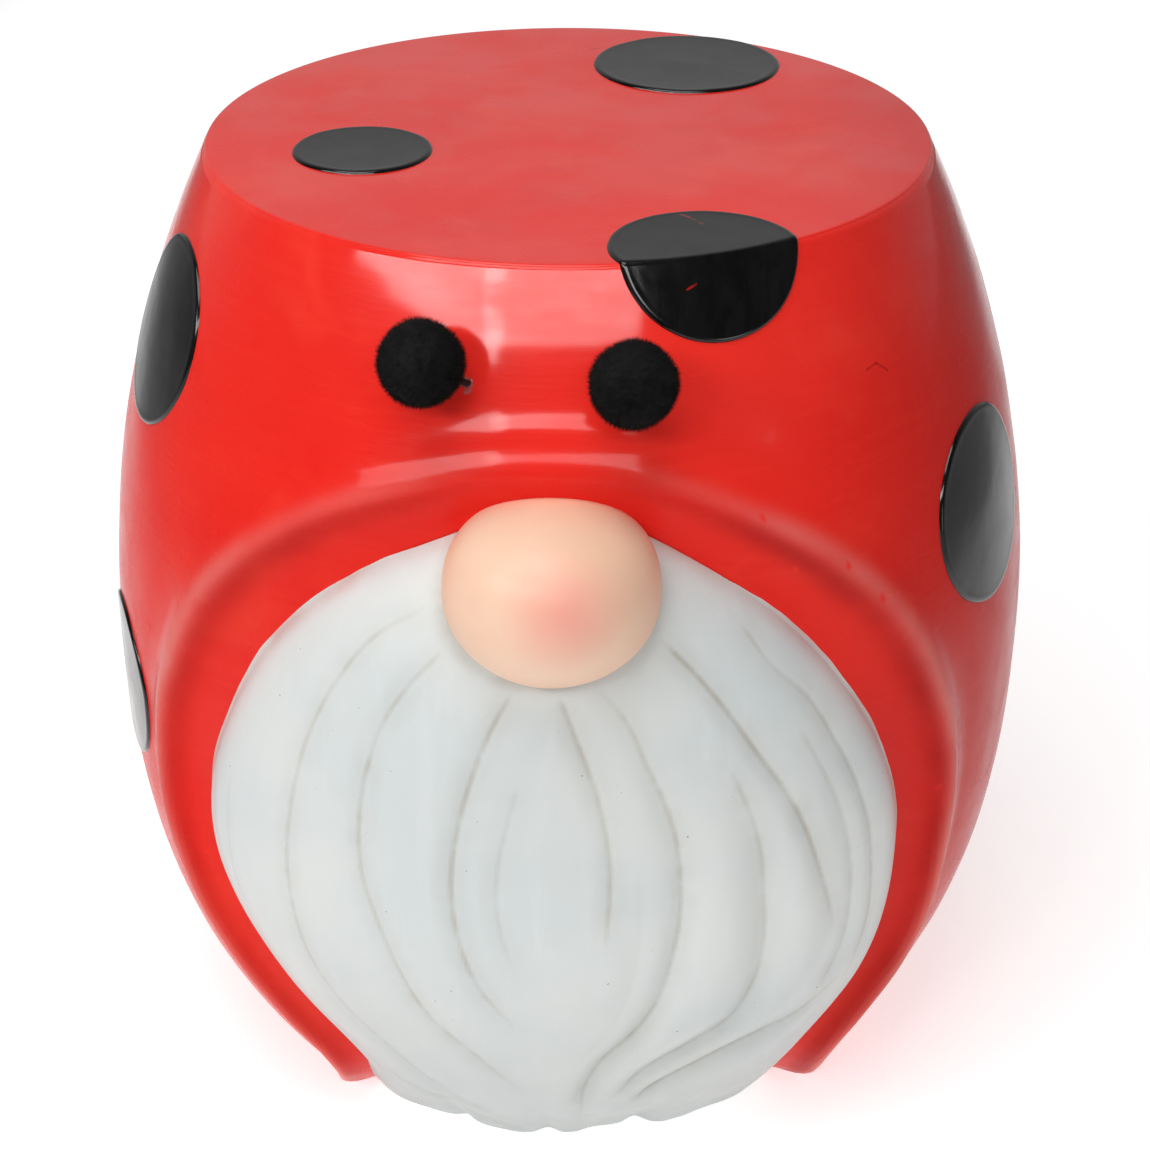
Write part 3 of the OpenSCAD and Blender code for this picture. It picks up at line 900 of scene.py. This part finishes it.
# ---------------------------------------------------------------- materials
class Nodes:
    """Short ways to add nodes to one material. An input's name has underscores for its spaces."""

    def __init__(self, name):
        self.material = bpy.data.materials.new(name)
        self.material.use_nodes = True
        self.tree = self.material.node_tree
        self.tree.nodes.clear()
        output = self.tree.nodes.new("ShaderNodeOutputMaterial")
        self.shader = self.tree.nodes.new("ShaderNodeBsdfPrincipled")
        self.tree.links.new(self.shader.outputs[0], output.inputs[0])
        self.place = self.tree.nodes.new("ShaderNodeTexCoord").outputs["Object"]

    def put(self, value, socket):
        if isinstance(value, bpy.types.NodeSocket):
            self.tree.links.new(value, socket)
        else:
            socket.default_value = value

    def fill(self, node, values):
        for name, value in values.items():
            self.put(value, node.inputs[name.replace("_", " ")])
        return node

    def add(self, kind, **values):
        return self.fill(self.tree.nodes.new("ShaderNode" + kind), values)

    def set(self, **values):
        self.fill(self.shader, values)

    def stretched(self, scale, turn=(0, 0, 0)):
        return self.add("Mapping", Vector=self.place, Scale=scale, Rotation=turn).outputs[0]

    def noise(self, scale, detail=4, rough=0.5, vector=None, warp=0.0):
        place = self.place if vector is None else vector
        node = self.add("TexNoise", Vector=place, Scale=scale, Detail=detail, Roughness=rough)
        node.inputs["Distortion"].default_value = warp
        return node.outputs["Fac"]

    def spread(self, value, low, high, to_low=0.0, to_high=1.0):
        node = self.add("MapRange", Value=value, From_Min=low, From_Max=high, To_Min=to_low, To_Max=to_high)
        node.interpolation_type = "SMOOTHSTEP"
        return node.outputs[0]

    def math(self, operation, a, b=0.0):
        node = self.add("Math")
        node.operation = operation
        self.put(a, node.inputs[0])
        self.put(b, node.inputs[1])
        return node.outputs[0]

    def mix(self, share, a, b):
        node = self.add("Mix")
        node.data_type = "RGBA"
        self.put(share, node.inputs[0])
        self.put((*a, 1) if isinstance(a, tuple) else a, node.inputs[6])
        self.put((*b, 1) if isinstance(b, tuple) else b, node.inputs[7])
        return node.outputs[2]

    def over(self, under, colour, share, strength):
        """A colour laid over another one, as strongly as share times strength."""
        return self.mix(self.math("MULTIPLY", share, strength), under, colour)

    def attribute(self, name):
        node = self.add("Attribute")
        node.attribute_name = name
        return node.outputs["Fac"]

    def near(self, point, reach):
        """1 at a point, in metres, falling to 0 at reach."""
        return self.spread(self.vector("DISTANCE", self.place, point), 0, reach, 1, 0)

    def split(self, axis):
        return self.add("SeparateXYZ", Vector=self.place).outputs[axis]

    def vector(self, operation, a, b):
        node = self.add("VectorMath")
        node.operation = operation
        self.put(a, node.inputs[0])
        self.put(b, node.inputs[1])
        return node.outputs["Value" if operation in ("DOT_PRODUCT", "DISTANCE") else "Vector"]

    def stroke(self, start, end, reach):
        """1 on a thin wavering line between two places, in metres, falling to 0 at reach."""
        way = Vector(end) - Vector(start)
        offset = self.vector("SUBTRACT", self.place, start)
        share = self.vector("DOT_PRODUCT", offset, way / way.length_squared)
        share = self.math("MINIMUM", self.math("MAXIMUM", share), 1.0)
        x, y, z = (self.math("MULTIPLY", share, length) for length in way)
        along = self.add("CombineXYZ", X=x, Y=y, Z=z)
        gap = self.vector("DISTANCE", offset, along.outputs[0])
        uneven = self.math("MULTIPLY", self.noise(500, 3), 0.0008)
        return self.spread(self.math("ADD", gap, uneven), 0.0003, reach, 1, 0)

    def low_down(self, height, share):
        """0 from a height up, in metres, rising to a share at the ground."""
        return self.spread(self.split("Z"), 0, height, share, 0)

    def bump(self, height, strength, distance, below=None):
        node = self.add("Bump", Strength=strength, Distance=distance, Height=height)
        if below is not None:
            self.put(below, node.inputs["Normal"])
        return node.outputs[0]


# Places of small scratches, in metres: a short curved crack on the right of the wall and a nick on the seat.
HAT_SCRATCHES = [
    ((0.1075, -0.1149, 0.3336), (0.1112, -0.1109, 0.3345)),
    ((0.1112, -0.1109, 0.3345), (0.1155, -0.1084, 0.3308)),
    ((0.0050, 0.1049, 0.3800), (0.0099, 0.1078, 0.3800)),
]
# Scratches through the front spot's black paint.
SPOT_SCRATCHES = [
    ((0.0419, -0.0903, 0.3810), (0.0450, -0.0925, 0.3810)),
    ((0.0450, -0.0925, 0.3810), (0.0498, -0.0989, 0.3810)),
    ((0.0443, -0.1352, 0.3710), (0.0473, -0.1335, 0.3724)),
]


def red_paint():
    n = Nodes("red_paint")
    broad = n.noise(9, 3)
    brushed = n.noise(1, 5, 0.6, n.stretched((22, 22, 260)), 0.4)
    cloudy = n.noise(34, 4)
    colour = n.mix(n.spread(broad, 0.35, 0.68), (0.84, 0.023, 0.016), (0.90, 0.030, 0.020))
    colour = n.over(colour, (0.92, 0.040, 0.024), n.spread(brushed, 0.5, 0.75), 0.35)
    colour = n.over(colour, (0.74, 0.012, 0.009), n.spread(cloudy, 0.58, 0.75), 0.25)
    patches = n.spread(n.noise(15, 3, 0.6, warp=0.5), 0.52, 0.7)
    colour = n.over(colour, (0.95, 0.055, 0.032), patches, 0.45)
    # Painted shade low down: the red grows darker towards the ground, with a little pale painted reflection
    # mixed in.
    colour = n.mix(n.low_down(0.17, 0.45), colour, (0.56, 0.052, 0.044))
    # Painted shade on the right side of the stool, and a little on its far left.
    across = n.split("X")
    colour = n.mix(n.spread(across, 0.08, 0.17, 0.0, 0.68), colour, (0.50, 0.022, 0.019))
    colour = n.mix(n.spread(across, -0.18, -0.13, 0.3, 0.0), colour, (0.56, 0.009, 0.007))
    cove = n.attribute("cove")
    # Painted shade in the cove beside the beard.
    cove_shade = n.math("MULTIPLY", cove, n.spread(n.noise(30, 4), 0.25, 0.7, 0.45, 0.8))
    colour = n.mix(cove_shade, colour, (0.38, 0.008, 0.006))
    # Painted pale reflection along the brim's crest.
    crest_sheen = n.math("MULTIPLY", n.attribute("crest"), n.spread(n.noise(22, 4), 0.3, 0.7, 0.45, 0.9))
    colour = n.mix(crest_sheen, colour, (0.80, 0.26, 0.23))
    for start, end in HAT_SCRATCHES:
        colour = n.over(colour, (0.22, 0.006, 0.005), n.stroke(start, end, 0.0011), 0.7)
    n.set(Base_Color=colour)
    n.set(Roughness=n.spread(n.noise(45, 5, 0.6), 0.3, 0.7, 0.19, 0.29))
    # The varnish is thinner low down and in the cove beside the beard.
    bare = n.spread(cove, 0, 0.6, 1, 0.12)
    patchy = n.spread(n.noise(18, 4, 0.6, n.stretched((1, 1, 2.5))), 0.35, 0.65, 0.6, 1.0)
    coat = n.math("MULTIPLY", n.spread(n.split("Z"), 0.29, 0.365, 0.03, 0.88), patchy)
    n.set(Coat_Weight=n.math("MULTIPLY", coat, bare), Coat_Roughness=0.10)
    n.set(Specular_IOR_Level=0.05)
    fine = n.noise(1, 3, 0.6, n.stretched((60, 60, 620)), 0.6)
    waves = n.bump(fine, 0.32, 0.00035)
    n.set(Normal=n.bump(n.noise(160, 3), 0.03, 0.0004, waves))
    return n.material


def black_paint():
    n = Nodes("black_paint")
    brushed = n.noise(1, 5, 0.6, n.stretched((180, 40, 60), (0.3, 0.5, 0.2)), 0.5)
    colour = n.mix(n.spread(brushed, 0.35, 0.7), (0.002, 0.002, 0.002), (0.006, 0.006, 0.0065))
    for start, end in SPOT_SCRATCHES:
        colour = n.mix(n.stroke(start, end, 0.0010), colour, (0.45, 0.012, 0.010))
    n.set(Base_Color=colour)
    n.set(Roughness=n.spread(n.noise(70, 5, 0.6), 0.3, 0.7, 0.10, 0.19))
    n.set(Normal=n.bump(brushed, 0.14, 0.0003))
    return n.material


def beard_paint():
    n = Nodes("beard_paint")
    shade_and_tint = n.attribute("shade_and_tint")
    patchy = n.noise(60, 4, 0.6)
    cool = n.noise(14, 3)
    colour = n.mix(n.spread(cool, 0.35, 0.65), (0.69, 0.735, 0.735), (0.75, 0.775, 0.755))
    strands = n.noise(1, 4, 0.6, n.stretched((110, 110, 12)))
    colour = n.over(colour, (0.80, 0.82, 0.82), n.spread(strands, 0.5, 0.72), 0.3)
    # Painted shade along the beard's border and round the nose, and a darker beige tint along the grooves.
    shade_and_tint_share = n.math("MULTIPLY", shade_and_tint, n.spread(patchy, 0.3, 0.65, 0.35, 1.0))
    colour = n.over(colour, (0.41, 0.365, 0.29), shade_and_tint_share, 0.85)
    pink = n.math("MULTIPLY", n.attribute("pink"), n.spread(n.noise(40, 4), 0.3, 0.7, 0.2, 1.0))
    colour = n.over(colour, (0.62, 0.30, 0.27), pink, 0.55)
    # Painted shade: the beard grows darker towards the ground.
    colour = n.mix(n.low_down(0.15, 0.7), colour, (0.36, 0.37, 0.36))
    specks = n.spread(n.noise(420, 2), 0.775, 0.80)
    colour = n.over(colour, (0.16, 0.13, 0.10), specks, 0.8)
    n.set(Base_Color=colour)
    n.set(Roughness=n.spread(n.noise(80, 4), 0.3, 0.7, 0.42, 0.56))
    n.set(Normal=n.bump(strands, 0.16, 0.0004, n.bump(n.noise(240, 4), 0.12, 0.0003)))
    return n.material


def nose_paint():
    n = Nodes("nose_paint")
    low, high = node_box("nose")
    middle = (low + high) / 2
    blush_at = (0.005, (low[1] + 2.5) * MM, (middle[2] + 9.5) * MM)
    warm = n.noise(26, 3)
    colour = n.mix(n.spread(warm, 0.35, 0.68), (0.96, 0.60, 0.42), (0.98, 0.66, 0.48))
    blush = n.math("MULTIPLY", n.near(blush_at, 0.026), n.spread(n.noise(55, 3), 0.2, 0.7, 0.85, 1.0))
    colour = n.over(colour, (0.96, 0.30, 0.25), blush, 0.66)
    n.set(Base_Color=colour)
    n.set(Roughness=n.spread(n.noise(60, 4), 0.3, 0.7, 0.40, 0.50), Specular_IOR_Level=0.6)
    n.set(Normal=n.bump(n.noise(150, 4), 0.08, 0.0003))
    n.set(Subsurface_Weight=0.06, Subsurface_Scale=0.004)
    return n.material


def wire_paint():
    n = Nodes("wire_paint")
    n.set(Base_Color=n.mix(n.noise(300, 3), (0.003, 0.003, 0.003), (0.010, 0.010, 0.009)))
    n.set(Specular_IOR_Level=0.3)
    n.set(Roughness=n.spread(n.noise(500, 3), 0.3, 0.7, 0.45, 0.7))
    n.set(Normal=n.bump(n.noise(700, 3), 0.4, 0.0002))
    return n.material


def glue_clear():
    n = Nodes("glue_clear")
    n.set(Base_Color=n.mix(n.noise(500, 3), (0.95, 0.90, 0.88), (1.0, 0.98, 0.97)))
    n.set(Roughness=n.spread(n.noise(600, 3), 0.3, 0.7, 0.04, 0.16))
    n.set(Transmission_Weight=0.93, IOR=1.46)
    n.set(Normal=n.bump(n.noise(700, 4), 0.6, 0.0004))
    return n.material


def pompom_fluff():
    n = Nodes("pompom_fluff")
    n.set(Base_Color=n.mix(n.noise(260, 4), (0.004, 0.004, 0.004), (0.016, 0.015, 0.015)))
    n.set(Roughness=n.spread(n.noise(300, 3), 0.3, 0.7, 0.8, 0.95))
    n.set(Specular_IOR_Level=0.15)
    n.set(Normal=n.bump(n.noise(900, 4), 0.5, 0.0004))
    return n.material


def floor_paper():
    n = Nodes("floor_paper")
    paper = n.mix(n.noise(3, 3), (0.74, 0.74, 0.74), (0.76, 0.76, 0.76))
    n.set(Base_Color=paper)
    # The sheet under and behind the stool glows a little, and fades out at its sides and in front.
    sides = n.spread(n.math("ABSOLUTE", n.split("X")), 0.5, 1.0, 1, 0)
    front = n.spread(n.split("Y"), -0.6, -0.2, 0, 1)
    far = n.spread(n.split("Y"), 0.0, 1.1, 0.82, 1.05)
    n.set(Emission_Color=paper)
    n.set(Emission_Strength=n.math("MULTIPLY", far, n.math("MULTIPLY", sides, front)))
    n.set(Roughness=n.spread(n.noise(5, 3), 0.3, 0.7, 0.85, 0.95))
    n.set(Normal=n.bump(n.noise(900, 3), 0.03, 0.0002))
    return n.material


# ---------------------------------------------------------------- light, floor and camera
def aim(thing, target):
    way = Vector(target) - thing.location
    thing.rotation_mode = "QUATERNION"
    thing.rotation_quaternion = way.to_track_quat("-Z", "Y")


LIGHT_TARGET = (0, 0, 0.2)


def softbox(name, azimuth, elevation, distance, width, height, power):
    """White area light at an azimuth from the front, positive to the right, and an elevation, in degrees."""
    lamp = bpy.data.lights.new(name, "AREA")
    lamp.shape = "RECTANGLE"
    lamp.size = width
    lamp.size_y = height
    lamp.energy = power
    thing = bpy.data.objects.new(name, lamp)
    a, e = math.radians(azimuth), math.radians(elevation)
    back = Vector((math.sin(a) * math.cos(e), -math.cos(a) * math.cos(e), math.sin(e)))
    thing.location = Vector(LIGHT_TARGET) + distance * back
    bpy.context.scene.collection.objects.link(thing)
    aim(thing, LIGHT_TARGET)


def light_room():
    """A pale room, brighter behind the stool than in front, with softboxes in front and above."""
    world = bpy.data.worlds.new("room")
    bpy.context.scene.world = world
    world.use_nodes = True
    tree = world.node_tree
    way = tree.nodes.new("ShaderNodeSeparateXYZ")
    tree.links.new(tree.nodes.new("ShaderNodeTexCoord").outputs["Generated"], way.inputs[0])
    share = tree.nodes.new("ShaderNodeMapRange")
    share.interpolation_type = "SMOOTHSTEP"
    share.inputs["From Min"].default_value = 0.0
    share.inputs["From Max"].default_value = 0.9
    share.inputs["To Min"].default_value = 0.07
    share.inputs["To Max"].default_value = 0.42
    tree.links.new(way.outputs["Y"], share.inputs["Value"])
    back = tree.nodes["Background"]
    back.inputs["Color"].default_value = (1.0, 1.0, 1.0, 1)
    tree.links.new(share.outputs[0], back.inputs["Strength"])
    softbox("left_bank", -41, 31, 2.2, 1.65, 0.32, 14)
    softbox("front_bank", 0.5, 34, 2.2, 1.6, 0.32, 11)
    softbox("right_key", 47, 4, 2.0, 0.5, 0.5, 2.0)
    softbox("top_box", -26, 70, 1.7, 1.2, 0.9, 13.5)


def build_floor():
    mesh = bpy.data.meshes.new("Floor")
    size = 6.0
    count = 13
    xs = np.linspace(-size, size, count)
    points = [(x, y, 0) for y in xs for x in xs]
    mesh.from_pydata(points, [], grid_faces(count, count).tolist())
    floor = bpy.data.objects.new("Floor", mesh)
    bpy.context.scene.collection.objects.link(floor)
    floor.data.materials.append(floor_paper())
    return floor


def build_camera():
    data = bpy.data.cameras.new("Camera")
    data.sensor_width = 36
    data.lens = 81.4
    data.shift_x = 0.006
    data.clip_start = 0.05
    data.clip_end = 50
    camera = bpy.data.objects.new("Camera", data)
    bpy.context.scene.collection.objects.link(camera)
    bpy.context.scene.camera = camera
    turn, down = math.radians(1.8), math.radians(28.34)
    reach, height = 0.9496, 0.7008
    camera.location = (reach * math.sin(turn), -reach * math.cos(turn), height)
    way = Vector((-math.sin(turn) * math.cos(down), math.cos(turn) * math.cos(down), -math.sin(down)))
    camera.rotation_mode = "QUATERNION"
    camera.rotation_quaternion = way.to_track_quat("-Z", "Y")


# ---------------------------------------------------------------- assembly
def finish_with(piece, material):
    piece.data.materials.clear()
    piece.data.materials.append(material)


red = red_paint()
black = black_paint()
hat = build_hat()
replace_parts(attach(hat, "stool"), "hat_shell", "hat_brim", "brow_fold")
finish_with(hat, red)
seat = build_seat()
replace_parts(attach(seat, "stool"), "seat_slab")
finish_with(seat, red)
for spot_name, spot_place in WALL_SPOTS.items():
    finish_with(build_round_spot(spot_name, spot_place), black)
for spot_name, spot_place in SEAT_SPOTS.items():
    finish_with(build_seat_spot(spot_name, spot_place), black)
finish_with(build_front_spot("front_spot", FRONT_SPOT), black)
beard = build_beard()
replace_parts(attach(beard, "stool"), "beard")
finish_with(beard, beard_paint())
nose = build_nose()
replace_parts(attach(nose, "stool"), "nose")
finish_with(nose, nose_paint())
wire_black, clear, fluff = wire_paint(), glue_clear(), pompom_fluff()
for antenna_side in ("left", "right"):
    antenna_wire, antenna_glue, antenna_pompom = build_antenna(antenna_side)
    finish_with(antenna_wire, wire_black)
    finish_with(antenna_glue, clear)
    finish_with(antenna_pompom, fluff)

build_floor()
light_room()
build_camera()
bpy.context.scene.view_settings.view_transform = "Standard"
